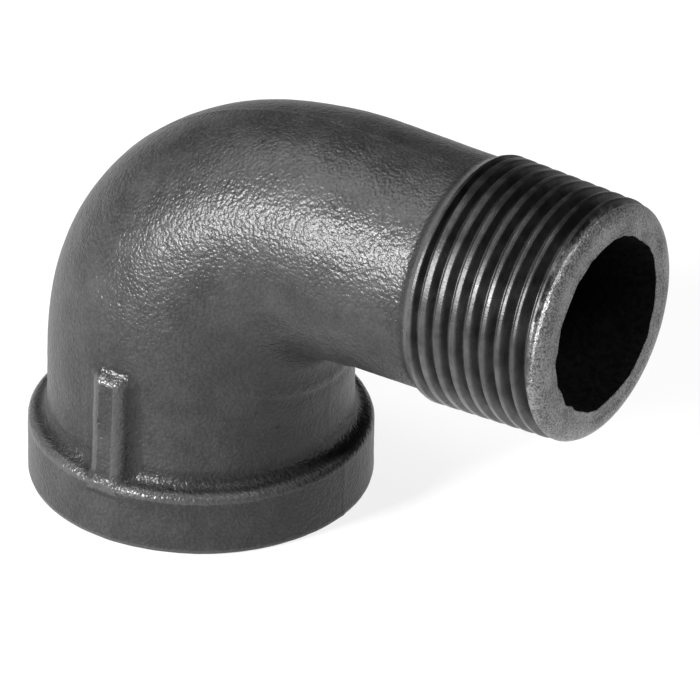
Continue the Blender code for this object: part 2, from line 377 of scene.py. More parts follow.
@dataclass(frozen=True)
class CutThread:
    """Iron cut by a threading die: smoother, bright bare metal on the crests, with painted shade darkening
    the grooves.

    Past nose_x the end face starts, sawn and speckled.
    """

    nose_x: float
    # dark is the painted shade at the groove bottoms, light the grey of the flanks.
    dark: float = 0.004
    light: float = 0.12
    crest: float = 0.26
    end_dark: float = 0.04
    end_light: float = 0.24
    metallic: float = 0.5
    roughness_low: float = 0.24
    roughness_high: float = 0.44
    grain: float = 0.22 * MM
    mottle: float = 2.2 * MM
    relief: float = 0.028 * MM
    nose_wander: float = 1.0 * MM
    nose_blend: float = 0.4 * MM

    def material(self) -> bpy.types.Material:
        """Build the finish."""
        surface = Surface("cut_thread")
        graph, place = surface.graph, surface.place
        fine = graph.grains(place, self.grain, 2.0, 0.6)
        mottle = graph.grains(place, self.mottle, 3.0, 0.6)
        wear = surface.wear()
        crest = graph.banded(wear + (fine - 0.5) * 0.3, 0.62, 0.98)
        # Painted shade: the colour darkens towards the bottom of each groove, with a random mottle.
        tone = graph.banded(wear * 0.7 + mottle * 0.5, 0.25, 1.0)
        colour = graph.mixed(tone, grey(self.dark), grey(self.light))
        colour = graph.mixed(crest * graph.banded(mottle, 0.3, 0.7), colour, grey(self.crest))
        along = graph.signal("ShaderNodeSeparateXYZ", None, {"Vector": place}, "X")
        along = along + (mottle - 0.5) * self.nose_wander
        end = graph.banded(along, self.nose_x, self.nose_x + self.nose_blend)
        speckle = graph.banded(fine * 0.7 + mottle * 0.3, 0.35, 0.65)
        colour = graph.mixed(
            end, colour, graph.mixed(speckle, grey(self.end_dark), grey(self.end_light))
        )
        span = self.roughness_high - self.roughness_low
        values = {
            "Base Color": colour,
            "Metallic": self.metallic,
            "Roughness": self.roughness_high - tone * span + (fine - 0.5) * 0.14 - end * 0.02,
        }
        return surface.done(self.relief, fine * (end * 3.0 + 1.0), values)


@dataclass(frozen=True)
class BoreShade:
    """The unlit inside of the waterway: painted shade, rough and nearly black."""

    # The near-black greys of the painted shade.
    dark: float = 0.002
    light: float = 0.007
    specular: float = 0.05
    roughness: float = 0.85
    grain: float = 0.6 * MM
    relief: float = 0.12 * MM

    def material(self) -> bpy.types.Material:
        """Build the finish."""
        surface = Surface("bore_skin")
        graph = surface.graph
        grains = graph.grains(surface.place, self.grain, 3.0, 0.6)
        values = {
            "Base Color": graph.mixed(
                graph.banded(grains, 0.3, 0.7), grey(self.dark), grey(self.light)
            ),
            "Metallic": 0.0,
            "Specular IOR Level": self.specular,
            "Roughness": self.roughness,
        }
        return surface.done(self.relief, grains, values)


# Sizes shared by the pieces


@dataclass(frozen=True)
class Place:
    """Where the fitting's axes and ends are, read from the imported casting.

    The socket's axis is upright and the male axis is level, along +X.
    """

    socket_x: float
    axis_z: float
    end_x: float
    band_radius: float
    low: Tuple[float, float, float]
    high: Tuple[float, float, float]

    @classmethod
    def read(cls, record: Dict[str, Any]) -> "Place":
        """Work the places out from the casting's box and its stated openings.

        Args:
            record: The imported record.

        Returns:
            The places, in metres.
        """
        low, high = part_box(CAD_NODE)
        boxes = {opening["name"]: opening["box_m"] for opening in record["physics"]["openings"]}
        socket_low, socket_high = boxes["socket"]
        bore_low, bore_high = boxes["male_bore"]
        return cls(
            socket_x=(socket_low[0] + socket_high[0]) / 2.0,
            axis_z=(bore_low[2] + bore_high[2]) / 2.0,
            end_x=high.x,
            band_radius=high.y,
            low=tuple(low),
            high=tuple(high),
        )


@dataclass(frozen=True)
class ThreadSize:
    """The taper pipe thread that both ends carry."""

    pitch: float = 25.4 * MM / 14.0
    taper: float = 1.0 / 32.0
    half_angle: float = math.radians(30.0)
    root_flat: float = 0.12 * MM


# Numbers on arrays


def eased(share: Array) -> Array:
    """Run from 0 to 1, level at both ends, as the share does."""
    held = np.clip(share, 0.0, 1.0)
    return held * held * (3.0 - 2.0 * held)


def smooth_union(first: Array, second: Array, reach: float) -> Array:
    """Join two distance fields with a fillet.

    Args:
        first: Distances to the first shape, negative inside.
        second: Distances to the second shape.
        reach: How far apart the shapes still blend.

    Returns:
        Distances to the joined shape.
    """
    near = np.clip(1.0 - np.abs(first - second) / reach, 0.0, 1.0)
    return np.minimum(first, second) - near * near * reach / 4.0


def unevenness(points: Array, size: float, seed: float) -> Array:
    """Smooth noise on a cloud of points.

    Args:
        points: Places, as rows of three numbers.
        size: The size of one hump.
        seed: Moves the pattern, so that layers differ.

    Returns:
        One value for each point, from about -1 to 1.
    """
    shift = Vector((seed, seed * 0.37, seed * 1.91))
    flat = points.reshape(-1, 3) / size
    values = [noise.noise(Vector(point) + shift) for point in flat]
    return np.array(values).reshape(points.shape[:-1])


# Mesh making


def ring_surface(rings: Array) -> Tuple[Array, Array]:
    """Skin a closed loop of closed rings.

    Args:
        rings: Places, by ring, by column, by coordinate.

    Returns:
        The points and the four-sided faces.
    """
    rows, columns, _ = rings.shape
    row = np.arange(rows)[:, None]
    column = np.arange(columns)[None, :]
    after_row = (row + 1) % rows
    after_column = (column + 1) % columns
    corners = [
        row * columns + column,
        row * columns + after_column,
        after_row * columns + after_column,
        after_row * columns + column,
    ]
    faces = np.stack([np.broadcast_to(corner, (rows, columns)) for corner in corners], axis=-1)
    return rings.reshape(-1, 3), faces.reshape(-1, 4)


def mesh_from(name: str, points: Array, faces: Array) -> bpy.types.Mesh:
    """Make a mesh from arrays.

    Args:
        name: The mesh's name.
        points: Places, in metres.
        faces: Corner numbers, four to a face.

    Returns:
        The mesh.
    """
    mesh = bpy.data.meshes.new(name)
    mesh.vertices.add(len(points))
    mesh.vertices.foreach_set("co", points.astype(np.float32).ravel())
    mesh.loops.add(faces.size)
    mesh.loops.foreach_set("vertex_index", faces.astype(np.int32).ravel())
    mesh.polygons.add(len(faces))
    mesh.polygons.foreach_set("loop_start", np.arange(0, faces.size, 4, dtype=np.int32))
    mesh.update(calc_edges=True)
    mesh.validate()
    return mesh


def signed_volume(mesh: bpy.types.Mesh) -> float:
    """The volume that a closed mesh holds, negative if its faces point inwards."""
    work = bmesh.new()
    work.from_mesh(mesh)
    volume = work.calc_volume(signed=True)
    work.free()
    return volume


def finished_piece(
    name: str, mesh: bpy.types.Mesh, materials: Sequence[bpy.types.Material], sharp: float
) -> bpy.types.Object:
    """Make the visible object of a mesh, facing outwards and dressed.

    Args:
        name: The piece's name.
        mesh: Its closed mesh, in the frame's coordinates.
        materials: Its finishes, in the order of the faces' material numbers.
        sharp: The angle past which an edge is drawn crisp.

    Returns:
        The object, at the origin.
    """
    if signed_volume(mesh) < 0.0:
        mesh.flip_normals()
    mesh.shade_smooth()
    mesh.set_sharp_from_angle(angle=sharp)
    numbers = np.empty(len(mesh.polygons), np.int32)
    mesh.polygons.foreach_get("material_index", numbers)
    mesh.materials.clear()
    for material in materials:
        mesh.materials.append(material)
    mesh.polygons.foreach_set("material_index", numbers)
    piece = bpy.data.objects.new(name, mesh)
    bpy.context.scene.collection.objects.link(piece)
    return piece


def declare(piece: bpy.types.Object) -> None:
    """Tie a piece to the casting, which it stands for, and report it."""
    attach(piece, CAD_BODY)
    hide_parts(CAD_NODE)
    triangles = sum(len(face.vertices) - 2 for face in piece.data.polygons)
    LOG.info("%s: %d triangles", piece.name, triangles)


# The cast body


@dataclass(frozen=True)
class Station:
    """One ring of rays: where they start and how they lean along the centreline.

    along is the distance up the centreline, out is how far from it the rays
    start, and lean is their angle out of the ring's own plane.
    """

    along: float
    out: float
    lean: float

    def towards(self, other: "Station", share: float) -> "Station":
        """The station at a share of the way to another."""
        return Station(
            self.along + (other.along - self.along) * share,
            self.out + (other.out - self.out) * share,
            self.lean + (other.lean - self.lean) * share,
        )


@dataclass(frozen=True)
class CastingBody:
    """The bent body with its band, ribs, throat and neck, and the waterway inside."""

    place: Place
    body_radius: float = 16.4 * MM
    body_foot: float = 3.0 * MM
    bend_radius: float = 19.3 * MM
    neck_radius: float = 12.95 * MM
    neck_end_radius: float = 12.78 * MM
    narrowing: Tuple[float, float] = (0.22, 0.95)
    throat_radius: float = 11.5 * MM
    throat_bend: float = 18.5 * MM
    throat_sink: float = 0.8 * MM
    throat_blend: float = 2.4 * MM
    throat_fade: float = 6.0 * MM
    throat_end: float = 3.0 * MM
    throat_shrink: float = 2.0 * MM
    band_height: float = 7.2 * MM
    band_edge: float = 0.9 * MM
    foot_edge: float = 0.5 * MM
    band_fillet: float = 1.9 * MM
    rib_half_width: float = 1.85 * MM
    rib_foot: float = 6.5 * MM
    rib_top: float = 19.0 * MM
    rib_lean: float = 0.9 * MM
    rib_draft: float = 0.5
    rib_edge: float = 0.6 * MM
    rib_fillet: float = 0.9 * MM
    shoulder_foot: float = 17.4 * MM
    shoulder_length: float = 1.55 * MM
    shoulder_radius: float = 13.50 * MM
    passage_radius: float = 10.6 * MM
    bore_radius: float = 9.0 * MM
    bore_gap: float = 1.1 * MM
    neck_wall: float = 11.3 * MM
    socket_depth: float = 14.5 * MM
    socket_wall: float = 13.5 * MM
    wave_height: float = 0.05 * MM
    wave_size: float = 6.0 * MM
    pebble_height: float = 0.022 * MM
    pebble_size: float = 1.1 * MM
    inset: float = 0.06 * MM
    seam_height: float = 0.10 * MM
    seam_width: float = 0.32 * MM
    columns: int = 276
    ring_gap: float = 0.42 * MM
    ray_length: float = 11.0 * MM
    ray_step: float = 0.22 * MM
    ray_halvings: int = 14
    wear_and_shade_reach: float = 0.35 * MM

    @property
    def corner(self) -> Tuple[float, float]:
        """The centre that the body bends round, in X and Z."""
        return self.place.socket_x + self.bend_radius, self.place.axis_z - self.bend_radius

    @property
    def rise(self) -> float:
        """Length of the centreline's upright run."""
        return self.place.axis_z - self.bend_radius

    @property
    def arc(self) -> float:
        """Length of the centreline's bend."""
        return self.bend_radius * math.pi / 2.0

    @property
    def length(self) -> float:
        """Length of the centreline, to the end of the neck."""
        return self.rise + self.arc + self.end_x - self.corner[0]

    @property
    def end_x(self) -> float:
        """Where the cast skin ends and the threaded end starts."""
        return self.place.end_x - self.shoulder_foot + self.shoulder_length

    def centreline(self, along: float) -> Tuple[Array, Array, Array]:
        """A place on the centreline.

        Args:
            along: The distance from the socket's face.

        Returns:
            The place, the direction onwards, and the direction to the bend's inside.
        """
        corner_x, corner_z = self.corner
        angle = min(max((along - self.rise) / self.bend_radius, 0.0), math.pi / 2.0)
        onward = np.array([math.sin(angle), 0.0, math.cos(angle)])
        inside = np.array([math.cos(angle), 0.0, -math.sin(angle)])
        before = min(along - self.rise, 0.0)
        after = max(along - self.rise - self.arc, 0.0)
        place = np.array([corner_x, 0.0, corner_z]) - inside * self.bend_radius
        return place + onward * (before + after), onward, inside

    @staticmethod
    def tube(
        points: Array, corner: Tuple[float, float], bend: float, radius_at: Callable[[Array, Array], Array]
    ) -> Array:
        """Distance to the skin of a tube that comes up, bends and goes out along +X.

        Args:
            points: Places.
            corner: The centre that it bends round, in X and Z.
            bend: The radius of its bend.
            radius_at: Gives its radius from the share of the bend and from X.

        Returns:
            Distances, negative inside.
        """
        across = points[..., 0] - corner[0]
        up = points[..., 2] - corner[1]
        turning = np.abs(np.hypot(across, up) - bend)
        straight = np.minimum(
            np.where(up < 0.0, np.abs(across + bend), np.inf),
            np.where(across > 0.0, np.abs(up - bend), np.inf),
        )
        in_plane = np.where((up >= 0.0) & (across <= 0.0), turning, straight)
        share = np.arctan2(np.maximum(up, 0.0), np.maximum(-across, 1e-9)) / (math.pi / 2.0)
        share = np.where(across > 0.0, 1.0, share)
        return np.hypot(in_plane, points[..., 1]) - radius_at(share, points[..., 0])

    def skin_radius(self, share: Array, x: Array) -> Array:
        """Outer radius of the body, the neck and the shoulder."""
        start, end = self.narrowing
        radius = self.body_radius + (self.neck_radius - self.body_radius) * eased(
            (share - start) / (end - start)
        )
        foot = self.end_x - self.shoulder_length
        neck_start = self.corner[0]
        radius += (self.neck_end_radius - self.neck_radius) * eased(
            (x - neck_start) / (foot - neck_start)
        )
        rise = self.shoulder_radius - self.neck_end_radius
        return radius + rise * eased((x - foot) / self.shoulder_length)

    def throat(self, points: Array) -> Array:
        """Distance to the fuller inside of the bend, under the neck."""
        inset = self.body_radius - self.throat_sink - self.throat_radius
        drop = self.neck_radius - self.throat_sink - self.throat_radius
        corner_x = self.place.socket_x + inset + self.throat_bend
        corner_z = self.place.axis_z - drop - self.throat_bend

        def radius_at(_: Array, x: Array) -> Array:
            """A round throat that sinks into the neck."""
            return self.throat_radius - eased((x - corner_x) / self.throat_end) * self.throat_shrink

        below = eased((corner_z - points[..., 2]) / self.throat_fade)
        tube = self.tube(points, (corner_x, corner_z), self.throat_bend, radius_at)
        return tube + below * self.throat_blend

    @staticmethod
    def broken_edge(across: Array, up: Array, edge: float) -> Array:
        """Distance to a corner rounded by an edge radius, from the two flats less that radius."""
        outside = np.hypot(np.maximum(across, 0.0), np.maximum(up, 0.0))
        return outside + np.minimum(np.maximum(across, up), 0.0) - edge

    def band(self, points: Array) -> Array:
        """Distance to the band, a disc with a rounded upper edge and a broken lower one."""
        past = np.hypot(points[..., 0] - self.place.socket_x, points[..., 1]) - self.place.band_radius
        over = points[..., 2] - (self.band_height - self.band_edge)
        under = self.foot_edge - points[..., 2]
        upper = self.broken_edge(past + self.band_edge, over, self.band_edge)
        return np.maximum(upper, self.broken_edge(past + self.foot_edge, under, self.foot_edge))

    def ribs(self, points: Array) -> Array:
        """Distance to the two upright ribs, tapered in width and leaning in at the top."""
        height = points[..., 2]
        lean = self.rib_lean * np.clip(height / self.rib_top, 0.0, 1.0)
        out = np.abs(points[..., 1]) + lean
        width = np.abs(points[..., 0] - self.place.socket_x)
        face = self.place.band_radius - self.rib_edge
        wall = self.rib_half_width + self.rib_draft * (face - out) - self.rib_edge
        side = (width - wall) / math.hypot(1.0, self.rib_draft)
        front = out - face
        top = height - (self.rib_top - self.rib_edge)
        beyond = np.sqrt(sum(np.maximum(past, 0.0) ** 2 for past in (side, front, top)))
        inside = np.minimum(np.maximum(np.maximum(side, front), top), 0.0)
        return np.maximum(beyond + inside - self.rib_edge, self.rib_foot - height)

    def skin(self, points: Array) -> Array:
        """Distance to the whole outer skin, negative inside."""
        tube = self.tube(points, self.corner, self.bend_radius, self.skin_radius)
        body = smooth_union(tube, self.throat(points), self.throat_blend)
        body = np.maximum(body, self.body_foot - points[..., 2])
        banded = smooth_union(body, self.band(points), self.band_fillet)
        return smooth_union(banded, self.ribs(points), self.rib_fillet)

    def stations(self) -> List[Station]:
        """The rings of rays, from the foot of the band to the end of the neck.

        Returns:
            The stations, in order.
        """
        lean = math.radians(45.0)
        foot, wide, slim = 2.0 * MM, 15.6 * MM, 9.0 * MM
        keys = [
            (Station(foot, wide, -1.22 * lean), 1),
            (Station(foot, wide, -0.1 * lean), 11),
            (Station(5.2 * MM, wide, 0.0), 7),
            (Station(5.2 * MM, wide, lean), 12),
            (Station(5.6 * MM, 13.9 * MM, lean), 12),
            (Station(11.0 * MM, slim, 0.0), 12),
        ]
        made = [keys[0][0]]
        for (start, _), (end, count) in zip(keys, keys[1:]):
            made += [start.towards(end, step / count) for step in range(1, count + 1)]
        start = made[-1].along
        length = self.length - start
        count = round(length / self.ring_gap)
        return made + [
            Station(start + length * step / count, slim, 0.0) for step in range(1, count + 1)
        ]

    def angles(self) -> Array:
        """Column angles, close together at the ribs and along the mould's parting line."""
        fine = np.linspace(0.0, 2.0 * math.pi, 7201)
        weight = np.ones_like(fine)
        crowded = ((0.0, 2.5), (90.0, 8.0), (180.0, 2.5), (270.0, 8.0), (360.0, 2.5))
        for centre, width in crowded:
            weight += 2.2 * np.exp(-(((np.degrees(fine) - centre) / width) ** 2))
        total = np.concatenate([[0.0], np.cumsum((weight[1:] + weight[:-1]) / 2.0)])
        wanted = np.arange(self.columns) / self.columns * total[-1]
        return np.interp(wanted, total, fine)

    @staticmethod
    def outwards(inside: Array, angles: Array) -> Array:
        """The way out at each angle, measured from the inside of the bend towards +Y."""
        return inside * np.cos(angles)[:, None] + np.array([0.0, 1.0, 0.0]) * np.sin(angles)[:, None]

    def ring(self, along: float, radius: float, angles: Array) -> Array:
        """A plain ring round the centreline."""
        place, _, inside = self.centreline(along)
        return place + self.outwards(inside, angles) * radius

    def outer_rings(self, angles: Array) -> Tuple[Array, Array]:
        """Cast rays from inside the body out to its skin.

        Args:
            angles: The column angles.

        Returns:
            The rings on the skin and the rays' directions.
        """
        starts, directions = [], []
        for station in self.stations():
            place, onward, inside = self.centreline(station.along)
            out = self.outwards(inside, angles)
            starts.append(place + out * station.out)
            directions.append(out * math.cos(station.lean) + onward * math.sin(station.lean))
        start = np.array(starts)
        direction = np.array(directions)
        far = np.full(start.shape[:-1], self.ray_length)
        for _ in range(round(self.ray_length / self.ray_step)):
            outside = self.skin(start + direction * far[..., None]) > 0.0
            far = np.where(outside, far - self.ray_step, far)
        near, far = far, far + self.ray_step
        for _ in range(self.ray_halvings):
            middle = (near + far) / 2.0
            outside = self.skin(start + direction * middle[..., None]) > 0.0
            far = np.where(outside, middle, far)
            near = np.where(outside, near, middle)
        return start + direction * near[..., None], direction

    def roughened(self, rings: Array, directions: Array) -> Array:
        """Give the skin its cast waves, its pebbles and the mould's parting line.

        Args:
            rings: Smooth rings on the skin.
            directions: The way outwards at each point.

        Returns:
            The uneven rings.
        """
        wave = unevenness(rings, self.wave_size, 3.0) * self.wave_height
        pebble = unevenness(rings, self.pebble_size, 11.0) * self.pebble_height
        seam = np.exp(-((rings[..., 1] / self.seam_width) ** 2)) * self.seam_height
        seam *= 0.55 + 0.45 * unevenness(rings, 2.5 * MM, 29.0)
        fade = np.ones(len(rings))
        fade[-4:] = (0.75, 0.5, 0.25, 0.0)
        fade[:3] = (0.0, 0.3, 0.7)
        shift = (wave + pebble + seam - self.inset) * fade[:, None]
        return np.clip(rings + directions * shift[..., None], self.place.low, self.place.high)

    def wear(self, rings: Array) -> Array:
        """How much each point stands out (worn bright) or lies in a corner (darkened as painted shade).

        Args:
            rings: Places on the skin.

        Returns:
            From -1 in a corner to 1 on an edge.
        """
        step = self.wear_and_shade_reach
        total = -6.0 * self.skin(rings)
        for axis in np.eye(3):
            total += self.skin(rings + axis * step) + self.skin(rings - axis * step)
        bend = total / step**2 * MM
        return np.clip((bend - 0.1) / 0.7, -1.0, 1.0)

    def inner_rings(self, angles: Array) -> List[Array]:
        """The rings that close the piece: neck end, waterway, socket wall and foot.

        Args:
            angles: The column angles.

        Returns:
            The rings, from the neck's end back to the foot of the band.
        """
        narrowed = self.bore_radius - self.passage_radius
        length = self.length - self.socket_depth
        count = round(length / self.bore_gap)
        plain = [(self.length, self.neck_wall), (self.length, self.bore_radius)]
        for step in range(1, count + 1):
            along = self.length - length * step / count
            share = (along - self.socket_depth) / (self.rise + self.arc - self.socket_depth)
            plain.append((along, self.passage_radius + narrowed * float(eased(np.array(share)))))
        plain += [(self.socket_depth * share, self.socket_wall) for share in (1.0, 0.5, 0.0)]
        foot = self.place.band_radius - self.foot_edge - self.socket_wall
        plain += [(0.0, self.socket_wall + foot * share) for share in (0.35, 0.7)]
        return [self.ring(along, radius, angles) for along, radius in plain]

    def build(self, skin: bpy.types.Material, bore_shade: bpy.types.Material) -> bpy.types.Object:
        """Build the cast body.

        Args:
            skin: The finish of everything outside.
            bore_shade: The painted shade of the waterway, nearly black.

        Returns:
            The piece.
        """
        angles = self.angles()
        smooth, directions = self.outer_rings(angles)
        outer = self.roughened(smooth, directions)
        inner = self.inner_rings(angles)
        rings = np.concatenate([outer, np.array(inner)])
        points, faces = ring_surface(rings)
        mesh = mesh_from("casting_body", points, faces)
        # Edge wear and painted corner shade, read by the cast skin.
        worn = np.zeros(rings.shape[:2])
        worn[: len(outer)] = self.wear(smooth)
        marks = mesh.attributes.new(WEAR_AND_SHADE, "FLOAT", "POINT")
        marks.data.foreach_set("value", worn.astype(np.float32).ravel())
        row = np.arange(len(faces)) // self.columns
        # The waterway's faces get the painted shade.
        in_bore = (row >= len(outer)) & (row < len(rings) - 4)
        mesh.polygons.foreach_set("material_index", in_bore.astype(np.int32))
        return finished_piece("casting_body", mesh, (skin, bore_shade), math.radians(50.0))


# Threads


class ThreadTree:
    """A Geometry Nodes tree that winds a tapered right-hand thread about its own +Z.

    The thread's inner end is at 0 and its end face is at Length. Rows of points
    follow the helix and are held at both ends, so that each end is a flat ring.
    """

    NUMBERS = (
        *("Length", "Pitch", "End Radius", "Taper", "Outward", "Depth", "Inner Depth"),
        *("Root Half Width", "Flank Slope", "Crest Rounding", "Root Rounding", "Phase"),
        *("Run Out Start", "Run Out Length", "Lead In Start", "Lead In Length"),
        *("Nose Length", "Nose Drop", "Nose Roundness"),
        *("Unevenness", "Grain Size", "Seed", "Merge Distance"),
    )
    OTHERS = {
        "Columns": "NodeSocketInt",
        "Rows Per Turn": "NodeSocketInt",
        "Finish": "NodeSocketMaterial",
    }

    def __init__(self) -> None:
        """Build the tree."""
        self.tree = bpy.data.node_groups.new("wind_thread", "GeometryNodeTree")
        self.graph = Graph(self.tree)
        kinds = {**dict.fromkeys(self.NUMBERS, "NodeSocketFloat"), **self.OTHERS}
        for name, kind in kinds.items():
            self.tree.interface.new_socket(name, in_out="INPUT", socket_type=kind)
        self.tree.interface.new_socket("Geometry", in_out="OUTPUT", socket_type="NodeSocketGeometry")
        self.given = self.graph.node("NodeGroupInput")
        self._wind()

    def value(self, name: str) -> Signal:
        """One of the tree's named inputs."""
        return Signal(self.graph, self.given.outputs[name])

    def _wind(self) -> None:
        """Lay a grid along the helix, shape it and finish it."""
        graph = self.graph
        pitch, length = self.value("Pitch"), self.value("Length")
        per_turn = self.value("Rows Per Turn")
        rows = ((length / pitch + 1.0) * per_turn).math("CEIL")
        corners = {"Vertices X": rows + 1.0, "Vertices Y": self.value("Columns") + 1.0}
        sheet = graph.signal("GeometryNodeMeshGrid", None, {"Size X": 1.0, "Size Y": 1.0, **corners})
        position = graph.signal("GeometryNodeInputPosition")
        flat = graph.node("ShaderNodeSeparateXYZ", None, {"Vector": position})
        turns = (Signal(graph, flat.outputs["X"]) + 0.5) * rows / per_turn
        round_share = Signal(graph, flat.outputs["Y"]) + 0.5
        height = ((turns - 1.0 + round_share) * pitch).limited(0.0, length)
        angle = round_share * (2.0 * math.pi)
        radius, groove_share = self._form(height, round_share)
        place = self._placed(radius, angle, height)
        scale = 1.0 / self.value("Grain Size")
        cloud = {"Vector": place, "W": self.value("Seed"), "Scale": scale, "Detail": 2.0}
        grains = graph.signal("ShaderNodeTexNoise", {"noise_dimensions": "4D"}, cloud)
        from_ends = height.limited(0.0, pitch) * (length - height).limited(0.0, pitch)
        uneven = (grains - 0.5) * self.value("Unevenness") * (from_ends / (pitch * pitch))
        place = self._placed(radius + uneven, angle, height)
        shaped = graph.signal("GeometryNodeSetPosition", None, {"Geometry": sheet, "Position": place})
        # The crest-to-groove mark, used for the bare crests and for painted shade in the grooves.
        marked = graph.signal(
            "GeometryNodeStoreNamedAttribute",
            {"data_type": "FLOAT", "domain": "POINT"},
            {"Geometry": shaped, "Name": WEAR_AND_SHADE, "Value": 1.0 - groove_share},
        )
        welding = {"Geometry": marked, "Distance": self.value("Merge Distance")}
        welded = graph.signal("GeometryNodeMergeByDistance", None, welding)
        real = graph.signal("GeometryNodeRealizeInstances", None, {"Geometry": welded})
        dressing = {"Geometry": real, "Material": self.value("Finish")}
        dressed = graph.signal("GeometryNodeSetMaterial", None, dressing)
        graph.node("NodeGroupOutput", None, {"Geometry": dressed})

    def _placed(self, radius: Signal, angle: Signal, height: Signal) -> Signal:
        """A place from its radius, angle and height."""
        across, sideways = radius * angle.math("COSINE"), radius * angle.math("SINE")
        values = {"X": across, "Y": sideways, "Z": height}
        return self.graph.signal("ShaderNodeCombineXYZ", None, values)

    def _form(self, height: Signal, round_share: Signal) -> Tuple[Signal, Signal]:
        """The thread's radius at a place.

        Args:
            height: Distance from the inner end.
            round_share: Share of the way round, from 0 to 1.

        Returns:
            The radius, and how deep in the groove it is, from 0 to 1.
        """
        pitch, length = self.value("Pitch"), self.value("Length")
        outward = self.value("Outward")
        crest_round, root_round = self.value("Crest Rounding"), self.value("Root Rounding")
        to_face = length - height
        crest = self.value("End Radius") + outward * to_face * self.value("Taper")
        nose_share = (1.0 - to_face / self.value("Nose Length")).limited(0.0, 1.0)
        bent = self.value("Nose Roundness")
        held = (1.0 - nose_share**bent) ** (1.0 / bent)
        blank = crest * outward - self.value("Nose Drop") * (1.0 - held)
        phase = height / pitch - round_share + self.value("Phase")
        off_centre = abs(phase.math("FRACT") - 0.5) * pitch
        fading = (height - self.value("Run Out Start")) / self.value("Run Out Length")
        full = self.value("Depth")
        inner = self.value("Inner Depth")
        starting = (to_face - self.value("Lead In Start")) / self.value("Lead In Length")
        deep = (inner + (full - inner) * (height / length)) * fading.limited(0.0, 1.0)
        deep = deep * starting.limited(0.0, 1.0)
        flank = deep - (off_centre - self.value("Root Half Width")) * self.value("Flank Slope")
        cut = flank.math("SMOOTH_MIN", deep, root_round).math("SMOOTH_MAX", 0.0, crest_round)
        threaded = crest * outward - cut + crest_round / 6.0
        radius = blank.math("SMOOTH_MIN", threaded, root_round) * outward
        return radius, (cut / full).limited(0.0, 1.0)


@dataclass(frozen=True)
class Thread:
    """One thread, wound by the shared tree and placed on the fitting."""

    side: Side
    length: float
    end_radius: float
    depth: float
    inner_depth: float
    nose_length: float
    nose_drop: float
    nose_roundness: float
    run_out_start: float
    run_out_length: float
    phase: float
    size: ThreadSize
    columns: int = 240
    rows_per_turn: int = 24
    lead_in_start: float = 0.0
    lead_in_length: float = 0.5 * MM
    crest_rounding: float = 0.24 * MM
    root_rounding: float = 0.12 * MM
    unevenness: float = 0.035 * MM
    grain: float = 0.55 * MM
    seed: float = 4.0
    merge: float = 0.002 * MM

    def wound(self, tree: ThreadTree, name: str, finish: bpy.types.Material) -> bpy.types.Mesh:
        """Wind the thread as an open sleeve about its own +Z.

        Args:
            tree: The shared thread tree.
            name: The mesh's name.
            finish: The finish of the cut thread.

        Returns:
            The sleeve's mesh.
        """
        settings = {
            "Length": self.length,
            "Pitch": self.size.pitch,
            "End Radius": self.end_radius,
            "Taper": self.size.taper,
            "Outward": self.side.value,
            "Depth": self.depth,
            "Inner Depth": self.inner_depth,
            "Root Half Width": self.size.root_flat / 2.0,
            "Flank Slope": 1.0 / math.tan(self.size.half_angle),
            "Crest Rounding": self.crest_rounding,
            "Root Rounding": self.root_rounding,
            "Lead In Start": self.lead_in_start,
            "Lead In Length": self.lead_in_length,
            "Phase": self.phase,
            "Run Out Start": self.run_out_start,
            "Run Out Length": self.run_out_length,
            "Nose Length": self.nose_length,
            "Nose Drop": self.nose_drop,
            "Nose Roundness": self.nose_roundness,
            "Unevenness": self.unevenness,
            "Grain Size": self.grain,
            "Seed": self.seed,
            "Columns": self.columns,
            "Rows Per Turn": self.rows_per_turn,
            "Merge Distance": self.merge,
            "Finish": finish,
        }
        carrier = bpy.data.objects.new(name, bpy.data.meshes.new(name))
        bpy.context.scene.collection.objects.link(carrier)
        modifier = carrier.modifiers.new("wind", "NODES")
        modifier.node_group = tree.tree
        for item in tree.tree.interface.items_tree:
            if item.in_out == "INPUT":
                modifier[item.identifier] = settings[item.name]
        graph = bpy.context.evaluated_depsgraph_get()
        graph.update()
        mesh = bpy.data.meshes.new_from_object(carrier.evaluated_get(graph), depsgraph=graph)
        carrier.modifiers.remove(modifier)
        bpy.data.objects.remove(carrier, do_unlink=True)
        return mesh

    def end_ring(self, mesh: bpy.types.Mesh, height: float) -> Array:
        """The sleeve's open edge at one height, in the order of its columns.

        Args:
            mesh: The sleeve.
            height: 0 or the thread's length.

        Returns:
            The ring's places.
        """
        work = bmesh.new()
        work.from_mesh(mesh)
        edge = [vert.co for vert in work.verts if vert.is_boundary]
        ring = np.array([tuple(place) for place in edge if abs(place.z - height) < self.merge])
        work.free()
        turn = np.mod(np.arctan2(ring[:, 1], ring[:, 0]) + 1e-6, 2.0 * math.pi)
        return ring[np.argsort(turn)]


